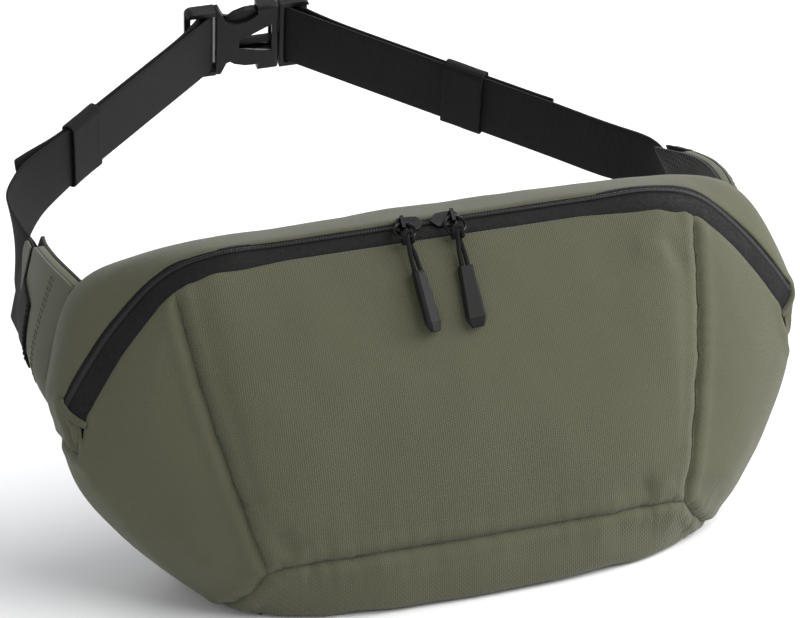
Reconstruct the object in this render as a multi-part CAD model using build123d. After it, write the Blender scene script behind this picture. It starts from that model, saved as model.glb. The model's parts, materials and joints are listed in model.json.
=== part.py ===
from build123d import *
import math
import os

# Waist pack with a webbing belt.  Millimetres, +Z up, +Y towards the wearer's back,
# +X to the right.  The origin is on the floor, under the middle of the pack's base.

# ---------------------------------------------------------------- driving dimensions
FABRIC = 5.0            # body panels: shell fabric, thin foam and lining sewn as one
PAD_FOAM = 2.5          # foam of the back pad
PAD_MESH = 2.0          # air mesh skin of the back pad
LINING = 0.6            # lining behind the foam
BACK_Y = 45.0           # outer face of the back pad
STRAIGHT_RUN = 112.0    # half length of the zip's straight run
STRAIGHT_STEPS = 4      # pieces along it
COIL_SHARE = 0.74       # the coil's line, as a share of the band from its front edge
TAPE_GAP = 1.0          # half width of the slot between the two zip tapes
TAPE = 1.6              # zip tape thickness
TAPE_SINK = 0.6         # the tapes lie this far below the panels beside them
COIL_WIDTH = 1.4
COIL_HEIGHT = 1.1

WEBBING = 38.0          # webbing width
WEB_THICK = 1.5
LAYER_PITCH = 2.4       # from the main layer's middle to the returned tail's middle
KEEPER_LENGTH = 25.0
KEEPER_WALL = 1.3
KEEPER_CLEAR = 0.5

SLIDER_LENGTH = 14.4
SLIDER_WIDTH = 8.0
SLIDER_PLATE = 1.6      # thickness of its upper plate
ARCH_HEIGHT = 4.6       # of the arch's bar above the upper plate's underside
SLIDER_X = {"left": -13.4, "right": 4.2}
ARCH_OFFSET = 4.0       # from the slider's middle out to the arch that holds the ring
RING_WIRE = 1.5
RING_RADIUS = 5.2       # to the middle of the wire
RING_LIFT = {"left": 16.0, "right": 8.0}        # degrees up from lying flat on the zip band
CORD_DIAMETER = 2.3
CORD_HANG = 17.0        # from the ring's wire to the grip
GRIP_LENGTH = 31.0
GRIP_THICK = 4.4

BELT_TILT = math.radians(22.0)      # the belt ring rises towards the back
BUCKLE_AT = (0.0, 329.6, 195.4)     # middle of the buckle's thickness at its mouth
BUCKLE_WIDTH = 45.0
BUCKLE_THICK = 10.0
BAR_RADIUS = 2.0
WRAP_RADIUS = 3.05      # from the bar's middle to the middle of the webbing round it
SOCKET_BAR = (-42.6, -1.0)          # along the belt, and outwards from the buckle's middle
PLUG_BAR = (7.0, -1.0)
SHOULDER_WALL = 2.2
PRONG_CLEAR = 0.3
CORNER_RADIUS = 4.0
END_BAR = 3.6

os.makedirs("parts", exist_ok=True)


# ---------------------------------------------------------------- points and sheets
def mirrored(point):
    return (-point[0], point[1], point[2])


def blend_points(start, end, share):
    return tuple(a + (b - a) * share for a, b in zip(start, end))


def smooth_rail(keys, steps):
    """Points along a smooth curve through the key points, steps per stretch."""
    points = [keys[0]]
    for index in range(len(keys) - 1):
        before = keys[max(index - 1, 0)]
        start = keys[index]
        end = keys[index + 1]
        after = keys[min(index + 2, len(keys) - 1)]
        for step in range(1, steps + 1):
            t = step / steps
            points.append(tuple(
                0.5 * (2 * b + (c - a) * t + (2 * a - 5 * b + 4 * c - d) * t ** 2
                       + (3 * b - a - 3 * c + d) * t ** 3)
                for a, b, c, d in zip(before, start, end, after)))
    return points


def on_curve(keys, share):
    """Point at a share of the way out along a curve given for the right half; mirrored if minus."""
    points = smooth_rail(keys, 4)
    spot = min(abs(share), 1.0) * (len(points) - 1)
    index = min(int(spot), len(points) - 2)
    point = blend_points(points[index], points[index + 1], spot - index)
    return mirrored(point) if share < 0 else point


def coons_grid(top, bottom, left, right, bulge=(0, 0, 0)):
    """Rows from top to bottom between four edges; bulge lifts the middle."""
    rows = []
    for i in range(len(left)):
        v = i / (len(left) - 1)
        row = []
        for j in range(len(top)):
            u = j / (len(top) - 1)
            lift = 16 * u * (1 - u) * v * (1 - v)
            row.append(tuple(
                (1 - v) * top[j][k] + v * bottom[j][k]
                + (1 - u) * left[i][k] + u * right[i][k]
                - (1 - u) * (1 - v) * top[0][k] - u * (1 - v) * top[-1][k]
                - (1 - u) * v * bottom[0][k] - u * v * bottom[-1][k]
                + lift * bulge[k]
                for k in range(3)))
        rows.append(row)
    return rows


def inset(point, depth):
    """The point moved inwards, towards the core line of the pack."""
    core = (max(-118.0, min(118.0, point[0] * 0.8)), 4.0, max(40.0, min(160.0, point[2])))
    reach = math.dist(point, core)
    return blend_points(point, core, depth / reach)


def sheet_solid(outer, inner):
    """Closed solid between two grids of points with the same rows and columns."""
    rows, columns = len(outer), len(outer[0])
    faces = []

    def add(*corners):
        unique = [c for i, c in enumerate(corners) if math.dist(c, corners[i - 1]) > 1e-6]
        if len(unique) > 2:
            faces.append(Face(Wire.make_polygon([Vector(*c) for c in unique], close=True)))

    def quad(a, b, c, d):
        if math.dist(a, c) > math.dist(b, d):
            a, b, c, d = b, c, d, a
        add(a, b, c)
        add(a, c, d)

    for i in range(rows - 1):
        for j in range(columns - 1):
            for grid in (outer, inner):
                quad(grid[i][j], grid[i + 1][j], grid[i + 1][j + 1], grid[i][j + 1])
    for j in range(columns - 1):
        for i in (0, rows - 1):
            quad(outer[i][j], outer[i][j + 1], inner[i][j + 1], inner[i][j])
    for i in range(rows - 1):
        for j in (0, columns - 1):
            quad(outer[i][j], outer[i + 1][j], inner[i + 1][j], inner[i][j])
    return Solid(Shell(faces))


def panel(rows, depth=FABRIC, start=0.0):
    """A fabric panel with its outer face on the grid of rows."""
    outer = [[inset(p, start) if start else p for p in row] for row in rows]
    inner = [[inset(p, start + depth) for p in row] for row in rows]
    return sheet_solid(outer, inner)


def save(name, shape):
    export_step(shape, f"parts/{name}.step")


# ---------------------------------------------------------------- rails of the body
# Each rail is given for the right half, from the middle out to the side.
CURVE_STEPS = 3         # pieces per stretch between two key points
ZIP_FRONT = [(STRAIGHT_RUN, -8.5, 173.5), (134, -6.5, 165), (156, -2, 143.5), (173, 1, 120.5),
             (186, 3, 100.5)]
ZIP_REAR = [(STRAIGHT_RUN, 0, 181.5), (140, 2.5, 173.5), (164, 7, 151), (182, 9.5, 128),
            (193.5, 11, 110)]
CROWN = [(STRAIGHT_RUN, 25, 178.5), (150, 25, 173), (177, 25, 154), (190, 26, 128), (196.5, 26, 107)]
BACK_TOP = [(STRAIGHT_RUN, BACK_Y, 170.5), (152, BACK_Y, 167), (176, BACK_Y, 157), (189, BACK_Y, 129),
            (196, BACK_Y, 104)]
END_POINT = (188.5, 6, 83)              # lower end of the side gusset
END_CROWN = (191.5, 25, 84.5)
END_BACK = (189.5, BACK_Y, 86)
LOW_SEAM = [(0, -60, 33), (60, -58.5, 32.5), (92, -54.5, 31.5), (108, -50, 28)]
SIDE_SEAM = [(134, -6.5, 165), (128.5, -24, 121), (119, -40, 74), (108, -50, 28)]
SIDE_TURN = [END_POINT, (184, 2.5, 69), (175, -1, 54), (160, -7, 31), (145, -15, 15), (128, -26, 3.5)]
SIDE_BACK = [END_BACK, (184, BACK_Y, 68), (174, BACK_Y, 50), (160, BACK_Y, 30), (144, BACK_Y, 16),
             (127, BACK_Y, 8)]
CORNER_TURN = [(108, -50, 28), (115.5, -44, 16.5), (122.5, -35, 8), (128, -26, 3.5)]
BASE_FRONT = [(0, -58.5, 0), (60, -56, 0), (92, -46.5, 0), (112, -33, 0)]
BASE_BACK_Y = 43.5
FRONT_BULGE = (0, -6.5, 2.0)            # how far the stuffed front and side panels stand out
SIDE_BULGE = (4, -5, -1)
WRAP_SWELL = 6.0

zip_front_side = smooth_rail(ZIP_FRONT, CURVE_STEPS)
zip_rear_side = smooth_rail(ZIP_REAR, CURVE_STEPS)
crown_side = smooth_rail(CROWN, CURVE_STEPS)
back_top_side = smooth_rail(BACK_TOP, CURVE_STEPS)


def full_rail(side):
    """The rail from the far left to the far right, with the straight run divided evenly."""
    straight = [(STRAIGHT_RUN * i / STRAIGHT_STEPS, *side[0][1:]) for i in range(STRAIGHT_STEPS)]
    half = straight + side
    return [mirrored(p) for p in reversed(half[1:])] + half


def tape_edge(share):
    """Rail across the zip band: 0 on its front edge, 1 on its rear edge."""
    side = [blend_points(f, r, share) for f, r in zip(zip_front_side, zip_rear_side)]
    return full_rail(side)


# ---------------------------------------------------------------- body panels
def front_panel():
    top = full_rail(zip_front_side[:CURVE_STEPS + 1])
    low = [on_curve(LOW_SEAM, point[0] / top[-1][0]) for point in top]
    right = smooth_rail(SIDE_SEAM, 2)
    left = [mirrored(p) for p in right]
    return panel(coons_grid(top, low, left, right, FRONT_BULGE)), low


def side_panel():
    """Right side panel, from the front panel's side seam round to the back pad."""
    top = zip_front_side[CURVE_STEPS:]
    seam = smooth_rail(SIDE_SEAM, 2)
    turn = [zip_front_side[-1]] + SIDE_TURN
    steps = (len(top) - 1) // (len(CORNER_TURN) - 1)
    low = [CORNER_TURN[0]]
    for start, end in zip(CORNER_TURN, CORNER_TURN[1:]):
        low += [blend_points(start, end, step / steps) for step in range(1, steps + 1)]
    flat = coons_grid(top, low, seam, turn, SIDE_BULGE)
    return panel(flat) + side_wrap()


def side_wrap():
    """The side panel's own turn from its widest line back to the pad."""
    rows = [[END_POINT, END_CROWN, END_BACK]]
    for front, back in zip(SIDE_TURN[1:], SIDE_BACK[1:]):
        middle = blend_points(front, back, 0.5)
        swell = WRAP_SWELL * min(1.0, front[2] / 40.0)
        rows.append([front, (middle[0] + swell, middle[1], max(middle[2] - swell, 0.5)), back])
    return panel(rows)


def bottom_panel(low_seam):
    """Front face of the base, the flat base, and its turn up to the back pad."""
    rows = []
    for seam in low_seam:
        base = on_curve(BASE_FRONT, seam[0] / LOW_SEAM[-1][0])
        knuckle = blend_points(seam, base, 0.4)
        heel = blend_points(seam, base, 0.85)
        rows.append([seam, (knuckle[0], knuckle[1] - 2.5, knuckle[2]), (heel[0], heel[1] - 1.2, heel[2]),
                     base, (base[0], BASE_BACK_Y, 0.0), (base[0], BACK_Y, 5.0)])
    tip = CORNER_TURN + [(127, BASE_BACK_Y, 3.5), (127, BACK_Y, 8)]
    return panel([[mirrored(p) for p in tip]] + rows + [tip])


def rear_gusset():
    """Olive strip behind the zip: over the top and down both sides to a point."""
    rear = full_rail(zip_rear_side)
    crown = full_rail(crown_side)
    back = full_rail(back_top_side)
    ends = [END_POINT, END_CROWN, END_BACK]
    rows = [[mirrored(p) for p in ends]] + [list(r) for r in zip(rear, crown, back)] + [ends]
    return panel(rows)


def zip_end_tab():
    return panel([[zip_front_side[-1], zip_rear_side[-1]], [END_POINT, END_POINT]])


def back_slab(y_outer, thickness, margin):
    """A flat layer of the back pad, margin inside the outline of the back."""
    half = [(0, 0, 170.5)] + back_top_side + SIDE_BACK + [(112, 0, 5.0)]
    loop = half + [mirrored(p) for p in reversed(half[1:])]
    middle = (0, 0, 88.0)
    points = []
    for p in loop:
        reach = math.hypot(p[0], p[2] - middle[2])
        points.append(blend_points((p[0], 0, p[2]), middle, margin / reach))
    flat = Polyline(*[(p[0], p[2]) for p in points], close=True)
    plane = Plane(origin=(0, y_outer, 0), x_dir=(1, 0, 0), z_dir=(0, -1, 0))
    return extrude(plane * make_face(flat), thickness)


# ---------------------------------------------------------------- zip
def zip_tape(front_share, rear_share):
    rows = [list(p) for p in zip(tape_edge(front_share), tape_edge(rear_share))]
    for end, before in ((0, 1), (-1, -2)):
        rows[end] = [blend_points(a, b, 0.02) for a, b in zip(rows[end], rows[before])]
    return panel(rows, TAPE, TAPE_SINK)


BAND = math.dist(zip_front_side[0], zip_rear_side[0])
BAND_PLANE = Plane(origin=(0, *blend_points(zip_front_side[0], zip_rear_side[0], COIL_SHARE)[1:]),
                   x_dir=(1, 0, 0), z_dir=(0, -8.0 / BAND, 8.5 / BAND))


def coil_row(side):
    """Half of the zip's coil as one low ridge along the straight run and the curves."""
    near = COIL_SHARE + side * TAPE_GAP / BAND
    far = COIL_SHARE + side * (TAPE_GAP + COIL_WIDTH) / BAND
    rows = [list(p) for p in zip(tape_edge(near), tape_edge(far))]
    low = [[inset(p, 0.55) for p in row] for row in rows]
    high = [[inset(p, 0.55 - COIL_HEIGHT) for p in row] for row in rows]
    return sheet_solid(high, low)


PLATE_LOW = COIL_HEIGHT - 0.3           # underside of the slider's upper plate, above the tapes


def slider_body(out):
    """Zip slider with its arch at the outer end; out is -1 on the left and +1 on the right."""
    nose = -out * SLIDER_LENGTH / 2
    heel = -nose
    half = SLIDER_WIDTH / 2
    edge = [(nose, 0), (nose * 0.55, half * 0.9), (0, half), (heel * 0.8, half), (heel, half * 0.6)]
    outline = Polyline(*edge, *[(x, -y) for x, y in reversed(edge[1:])], close=True)
    upper = extrude(Plane.XY.offset(PLATE_LOW) * make_face(outline), SLIDER_PLATE)
    lower = Pos(0, -1.8, -3.1) * Box(SLIDER_LENGTH * 0.8, 3.6, 1.1)
    neck = Pos(0, -0.4, -1.0) * Box(4.0, 0.6, 4.4)
    arch_at = out * ARCH_OFFSET
    legs = [Pos(arch_at, side * 2.9, PLATE_LOW + 2.9) * Box(1.8, 1.0, 3.6) for side in (-1, 1)]
    bar = Pos(arch_at, 0, PLATE_LOW + ARCH_HEIGHT) * Box(1.8, 6.8, 1.3)
    return upper + neck + lower + legs[0] + legs[1] + bar


# Height of the ring's wire in the arch, above the tapes.
AXIS_HEIGHT = PLATE_LOW + SLIDER_PLATE + 0.35 + RING_WIRE / 2


def band_point(x, height):
    origin = BAND_PLANE.origin
    normal = BAND_PLANE.z_dir
    return Vector(x, origin.Y + height * normal.Y, origin.Z + height * normal.Z)


def ring_reach(side):
    """Direction from the ring's wire in the arch to its far wire, forward over the band."""
    lift = math.radians(RING_LIFT[side])
    return BAND_PLANE.z_dir * math.sin(lift) - BAND_PLANE.y_dir * math.cos(lift)


def ring_foot(side):
    out = -1 if side == "left" else 1
    return band_point(SLIDER_X[side] + out * ARCH_OFFSET, AXIS_HEIGHT)


def pull_ring(side):
    reach = ring_reach(side)
    centre = ring_foot(side) + reach * RING_RADIUS
    plane = Plane(origin=centre, x_dir=(1, 0, 0), z_dir=Vector(1, 0, 0).cross(reach))
    return plane * Torus(RING_RADIUS, RING_WIRE / 2)


GRIP_FOOT = {"left": (-12.6, -38.0, 136.0), "right": (9.0, -37.5, 135.5)}


def pull_plane(side):
    """Frame of a pull: origin on the ring's far wire, -Z down along the pull."""
    anchor = ring_foot(side) + ring_reach(side) * (2 * RING_RADIUS)
    down = (Vector(*GRIP_FOOT[side]) - anchor).normalized()
    return Plane(origin=anchor, x_dir=Vector(1, 0, 0) - down * down.X, z_dir=-down)


def pull_route():
    """Route of a pull's cord: up from the grip, over the ring's wire and back down."""
    half = [(-1.5, -0.1, 0.1 - CORD_HANG), (-1.6, -0.6, -11.5), (-1.3, -1.6, -6.0),
            (-0.8, -2.6, -0.6), (-0.3, -1.5, 2.5)]
    return half + [(-x, -y, z) for x, y, z in reversed(half)]


def cord_tube(points, diameter):
    """A tube along straight runs joined by tangent arcs."""
    radii = []
    for before, corner, after in zip(points, points[1:], points[2:]):
        first = Vector(*corner) - Vector(*before)
        second = Vector(*after) - Vector(*corner)
        turn = math.radians(first.get_angle(second))
        shorter = min(first.length, second.length)
        radii.append(0.45 * shorter / math.tan(turn / 2))
    path = FilletPolyline(*points, radius=radii)
    start = Plane(origin=points[0], z_dir=Vector(*points[1]) - Vector(*points[0]))
    print("cord length", round(path.length, 1), "tightest", round(min(radii), 2))
    return sweep(start * Circle(diameter / 2), path=path)


def pull_cord(side):
    return pull_plane(side) * cord_tube(pull_route(), CORD_DIAMETER)


def pull_grip(side):
    """Moulded grip: slimmer at its top, chamfered all round at its foot."""
    turn = 38.0 if side == "left" else 0.0
    stations = [(-CORD_HANG, 3.5, 1.9), (-CORD_HANG - 1.2, 3.8, 2.2), (-CORD_HANG - 26.5, 5.0, 2.2),
                (-CORD_HANG - GRIP_LENGTH, 3.2, 1.0)]
    sections = []
    for z, half_width, half_thick in stations:
        corner = min(half_thick, half_width) * 0.55
        w, t = half_width, half_thick
        points = [(-w, -t + corner), (-w + corner, -t), (w - corner, -t), (w, -t + corner),
                  (w, t - corner), (w - corner, t), (-w + corner, t), (-w, t - corner)]
        sections.append(Plane.XY.offset(z) * make_face(Polyline(*points, close=True)))
    body = loft(sections, ruled=True)
    return pull_plane(side) * (Rot(0, 0, turn) * body)


# ---------------------------------------------------------------- wings
# Outline of the right wing's outer face: (distance back, then (x, z) from its top edge down).
WING = [
    (45.0, (176, 157), (188, 131), (196, 106), (192, 93)),
    (70.0, (181, 159), (190.5, 135), (199.5, 111), (196, 98)),
    (100.0, (183, 158), (189.5, 136), (195, 114), (192.5, 99)),
    (130.0, (182, 153), (187, 137), (192.5, 119), (193.5, 102)),
    (162.0, (179.5, 147.5), (184.5, 136), (189.5, 121), (194, 105)),
]
WING_SKIN = 1.6
END_SKIN = 1.2
WING_THICK = [8.0, 8.0, 7.5, 7.8, 8.4]      # whole thickness at each line of the outline
INNER_SKIN = 1.8


def wing_line(index, side, depth):
    """One line of the wing, depth inside its outer face."""
    back, *spots = WING[index]
    return [(side * (x - depth), back, z) for x, z in spots]


def wing_layer(side, first, last, depth_from, depth_to):
    """A layer of the wing between two of its lines; depths are functions of the line."""
    outer = [wing_line(i, side, depth_from(i)) for i in range(first, last + 1)]
    inner = [wing_line(i, side, depth_to(i)) for i in range(first, last + 1)]
    return sheet_solid(outer, inner)


def wing_tongue(side):
    """Rounded patch on the wing's end panel, over the root of the webbing."""
    def spot(along, down, depth):
        lines = [wing_line(3, side, depth), wing_line(4, side, depth)]
        index = min(int(down), 2)
        start, end = [blend_points(line[index], line[index + 1], down - index) for line in lines]
        return blend_points(start, end, along)
    reach = [(0.02, 0.0, 1.5), (0.3, 0.0, 1.25), (0.6, 0.0, 0.95), (0.85, 0.05, 0.6), (0.95, 0.15, 0.4)]
    rows = {}
    for depth in (-1.6, -0.5):
        rows[depth] = [[spot(a, t, depth), spot(a, (t + b) / 2, depth), spot(a, b, depth)]
                       for a, t, b in reach]
    return sheet_solid(rows[-1.6], rows[-0.5])


def wing_parts(side):
    whole = WING_THICK.__getitem__
    return {
        "wing_outer": wing_layer(side, 0, 3, lambda i: 0.0, lambda i: WING_SKIN),
        "wing_end_panel": wing_layer(side, 3, 4, lambda i: 0.0, lambda i: END_SKIN),
        "wing_foam": wing_layer(side, 0, 3, lambda i: WING_SKIN, lambda i: whole(i) - INNER_SKIN),
        "wing_mesh": wing_layer(side, 0, 4, lambda i: whole(i) - INNER_SKIN, whole),
        "wing_tongue": wing_tongue(side),
    }


# ---------------------------------------------------------------- belt
UP = (0.0, -math.sin(BELT_TILT), math.cos(BELT_TILT))        # across the webbing at the back
OUT = (0.0, math.cos(BELT_TILT), math.sin(BELT_TILT))        # away from the wearer at the back


def ring_point(x, t):
    """A point of the belt ring's plane: x to the right, t outwards from the buckle's middle."""
    return tuple(BUCKLE_AT[k] + (x if k == 0 else 0) + OUT[k] * t for k in range(3))


LEFT_KEYS = [(-184.5, -190), (-182.4, -181), (-184, -160), (-180, -136), (-168, -114),
             (-151.5, -98), (-139, -87.2)]
RIGHT_KEYS = [(184.5, -190), (182.2, -181), (174, -165), (154, -149), (133, -128), (121, -116.2)]
# How far the webbing's upper edge leans inwards at each key point, per unit of its height.
LEFT_LEANS = [0.31, 0.338, 0.09, -0.28, -0.25, -0.1, 0.0]
RIGHT_LEANS = [0.31, 0.31, 0.15, 0.0, 0.0, 0.0]
KEY_STEPS = 3


def belt_main(keys, bar):
    """Main layer: smooth out of the wing, then straight to where it meets the bar."""
    curve = smooth_rail(keys, KEY_STEPS)
    start = curve[-1]
    reach = math.dist(start, bar)
    angle = math.atan2(bar[1] - start[1], bar[0] - start[0])
    touch = math.asin(WRAP_RADIUS / reach)
    sign = 1 if bar[0] < start[0] else -1
    heading = angle + sign * touch
    length = math.sqrt(reach ** 2 - WRAP_RADIUS ** 2)
    end = (start[0] + length * math.cos(heading), start[1] + length * math.sin(heading))
    runs = 6
    straight = [blend_points(start, end, i / runs) for i in range(1, runs + 1)]
    return curve + straight, heading


def belt_wrap(bar, heading, turn):
    """Half turn of the webbing round a bar, from the wearer's side to the outside."""
    first = heading - turn * math.pi / 2
    return [(bar[0] + WRAP_RADIUS * math.cos(first + turn * math.pi * i / 6),
             bar[1] + WRAP_RADIUS * math.sin(first + turn * math.pi * i / 6)) for i in range(1, 7)]


def belt_tail(main, turn, skip, flare):
    """The returned layer, outside the main one, from the bar back past the keeper."""
    points = []
    stations = list(reversed(main))[1:skip]
    for index, spot in enumerate(stations):
        at = len(main) - 2 - index
        ahead = main[min(at + 1, len(main) - 1)]
        behind = main[at - 1]
        size = math.dist(ahead, behind)
        normal = (-(ahead[1] - behind[1]) / size * turn, (ahead[0] - behind[0]) / size * turn)
        left_over = len(stations) - 1 - index
        lift = LAYER_PITCH + flare * max(0, 4 - left_over) ** 1.5 / 8
        points.append((spot[0] + normal[0] * lift, spot[1] + normal[1] * lift))
    return points


def ribbon(points, leans):
    """Webbing of full width along points of the ring's plane."""
    outer, inner = [], []
    for index, spot in enumerate(points):
        ahead = ring_point(*points[min(index + 1, len(points) - 1)])
        behind = ring_point(*points[max(index - 1, 0)])
        along = (Vector(*ahead) - Vector(*behind)).normalized()
        wide = Vector(leans[index], *UP[1:])
        wide = (wide - along * wide.dot(along)).normalized()
        thick = along.cross(wide)
        middle = Vector(*ring_point(*spot))
        for grid, sign in ((outer, 1), (inner, -1)):
            face = middle + thick * (sign * WEB_THICK / 2)
            grid.append([tuple(face + wide * (s * WEBBING / 2)) for s in (-1, 1)])
    return sheet_solid(outer, inner)


def strap(side):
    left = side == "left"
    keys, key_leans, bar = (LEFT_KEYS, LEFT_LEANS, SOCKET_BAR) if left else (RIGHT_KEYS, RIGHT_LEANS, PLUG_BAR)
    turn = 1 if left else -1
    main, heading = belt_main(keys, bar)
    wrap = belt_wrap(bar, heading, turn)
    tail = belt_tail(main, turn, 13 if left else 9, 4.0 if left else 0.6)
    curve_leans = [turn * (a + (b - a) * step / KEY_STEPS)
                   for a, b in zip(key_leans, key_leans[1:]) for step in range(KEY_STEPS)]
    main_leans = curve_leans + [0.0] * (len(main) - len(curve_leans))
    tail_leans = list(reversed(main_leans))[1:len(tail) + 1]
    return ribbon(main + wrap + tail, main_leans + [0.0] * len(wrap) + tail_leans), main, turn


def keeper(main, turn, share):
    """Sleeve of webbing round both layers, on the straight run of the main layer."""
    start, end = main[-7], main[-1]
    middle = blend_points(start, end, share)
    along = (Vector(*ring_point(*end)) - Vector(*ring_point(*start))).normalized()
    plane = Plane(origin=ring_point(*middle), x_dir=along, z_dir=UP)
    outwards = turn * 1.0
    space = WEB_THICK + LAYER_PITCH + 2 * KEEPER_CLEAR
    hole = Box(KEEPER_LENGTH + 2, space, WEBBING + 2 * KEEPER_CLEAR)
    sleeve = Box(KEEPER_LENGTH, space + 2 * KEEPER_WALL, WEBBING + 2 * (KEEPER_CLEAR + KEEPER_WALL))
    return plane * (Pos(0, outwards * LAYER_PITCH / 2, 0) * (sleeve - hole))


# ---------------------------------------------------------------- buckle
# Local frame: x along the belt towards the plug, y across the webbing, z towards the wearer.
BUCKLE_PLANE = Plane(origin=BUCKLE_AT, x_dir=(1, 0, 0), z_dir=tuple(-c for c in OUT))
HALF = BUCKLE_WIDTH / 2
SLOT_HALF = WEBBING / 2 + 0.8


def soft_box(x_from, x_to, width, thick, middle=0.0, edge=0.8):
    block = Pos((x_from + x_to) / 2, 0, middle) * Box(x_to - x_from, width, thick)
    return fillet(block.edges(), edge)


def webbing_frame(x_from, x_to, bar, end):
    """Open frame with a round bar and rounded corners; its end bar is set back behind the webbing."""
    block = Pos((x_from + x_to) / 2, 0, 0) * Box(x_to - x_from, BUCKLE_WIDTH, BUCKLE_THICK - 1)
    corners = block.edges().filter_by(Axis.Z).sort_by(Axis.X)
    block = fillet(corners[:2] if end < 0 else corners[-2:], CORNER_RADIUS)
    inner_from, inner_to = (x_from + END_BAR, x_to + 1) if end < 0 else (x_from - 1, x_to - END_BAR)
    block -= Pos((inner_from + inner_to) / 2, 0, 0) * Box(inner_to - inner_from, 2 * SLOT_HALF, 2 * BUCKLE_THICK)
    end_at = (x_from if end < 0 else x_to) - end * END_BAR / 2
    block -= Pos(end_at, 0, 2.2) * Box(END_BAR + 2, 2 * SLOT_HALF, BUCKLE_THICK - 2)
    round_bar = Pos(bar[0], 0, -bar[1]) * (Rot(90, 0, 0) * Cylinder(BAR_RADIUS, 2 * SLOT_HALF + 1))
    return block + round_bar


def buckle_socket():
    body = soft_box(-38.0, -0.4, BUCKLE_WIDTH, BUCKLE_THICK, edge=1.6)
    cavity = Pos(-15.5, 0, 0) * Box(36.0, BUCKLE_WIDTH - 2 * SHOULDER_WALL, 6.0)
    body = body - cavity
    for side in (-1, 1):
        notch = Polyline((-12.8, side * 24), (-12.8, side * 17.5), (-19.0, side * 13.6),
                         (-26.0, side * 12.6), (-31.5, side * 14.4), (-36.0, side * 24), close=True)
        body = body - extrude(make_face(notch), BUCKLE_THICK, both=True)
    window = Polyline((-24, -6.0), (-24, 0.5), (-4.5, 9.6), (-4.5, -9.6), close=True)
    body = body - extrude(make_face(window), BUCKLE_THICK, both=True)
    frame = webbing_frame(-55.0, -37.6, SOCKET_BAR, -1)
    return BUCKLE_PLANE * (body + frame)


def buckle_plug():
    flange = soft_box(0.2, 3.0, BUCKLE_WIDTH, BUCKLE_THICK, edge=0.7)
    guide = Pos(-14.5, -3.2, 0) * Box(30.0, 4.5, 2.4)
    frame = webbing_frame(2.6, 18.2, PLUG_BAR, 1)
    return BUCKLE_PLANE * (flange + guide + frame)


PRONG_PIVOT = (-1.6, 12.0)


def prong(side):
    """Sprung arm of the plug, with the pad that is pressed at the socket's side."""
    pad = HALF - SHOULDER_WALL - PRONG_CLEAR
    outline = Polyline((-0.2, 10.4), (-0.2, 13.6), (-11.5, 15.4), (-13.0, pad - 0.4), (-15.0, pad),
                       (-20.0, pad - 0.3), (-26.0, pad - 2.2), (-31.0, 14.2), (-31.6, 11.4),
                       (-28.0, 9.8), (-12.0, 10.8), close=True)
    arm = extrude(make_face(outline), 2.6, both=True)
    if side < 0:
        arm = mirror(arm, about=Plane.XZ)
    return BUCKLE_PLANE * arm


# ---------------------------------------------------------------- the whole pack
front, front_low = front_panel()
save("front_panel", front)
right_side = side_panel()
save("right_side_panel", right_side)
save("left_side_panel", mirror(right_side, about=Plane.YZ))
save("bottom_panel", bottom_panel(front_low))
save("rear_gusset", rear_gusset())
tab = zip_end_tab()
save("right_zip_end_tab", tab)
save("left_zip_end_tab", mirror(tab, about=Plane.YZ))
save("back_mesh", back_slab(BACK_Y, PAD_MESH, 4.0))
save("back_foam", back_slab(BACK_Y - PAD_MESH, PAD_FOAM, 5.0))
save("back_lining", back_slab(BACK_Y - PAD_MESH - PAD_FOAM, LINING, 5.0))
middle_share = TAPE_GAP / BAND
save("zip_tape_front", zip_tape(0.0, COIL_SHARE - middle_share))
save("zip_tape_rear", zip_tape(COIL_SHARE + middle_share, 1.0))
save("zip_coil_front", coil_row(-1))
save("zip_coil_rear", coil_row(1))
for side_name, outwards in (("left", -1), ("right", 1)):
    place = Plane(origin=band_point(SLIDER_X[side_name], 0), x_dir=(1, 0, 0), z_dir=BAND_PLANE.z_dir)
    save(f"{side_name}_slider", place * slider_body(outwards))
    save(f"{side_name}_pull_ring", pull_ring(side_name))
    save(f"{side_name}_pull_cord", pull_cord(side_name))
    save(f"{side_name}_pull_grip", pull_grip(side_name))
    for part_name, part in wing_parts(outwards).items():
        save(f"{side_name}_{part_name}", part)
    webbing, belt_line, belt_turn = strap(side_name)
    save(f"{side_name}_strap", webbing)
    save(f"{side_name}_keeper", keeper(belt_line, belt_turn, 0.08 if side_name == "left" else 0.28))
save("buckle_socket", buckle_socket())
save("buckle_plug", buckle_plug())
save("prong_upper", prong(1))
save("prong_lower", prong(-1))
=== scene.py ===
import json
import math

import bmesh
import bpy
from mathutils import Matrix, Vector, noise
from mathutils.geometry import intersect_point_line
from mathutils.kdtree import KDTree


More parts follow.
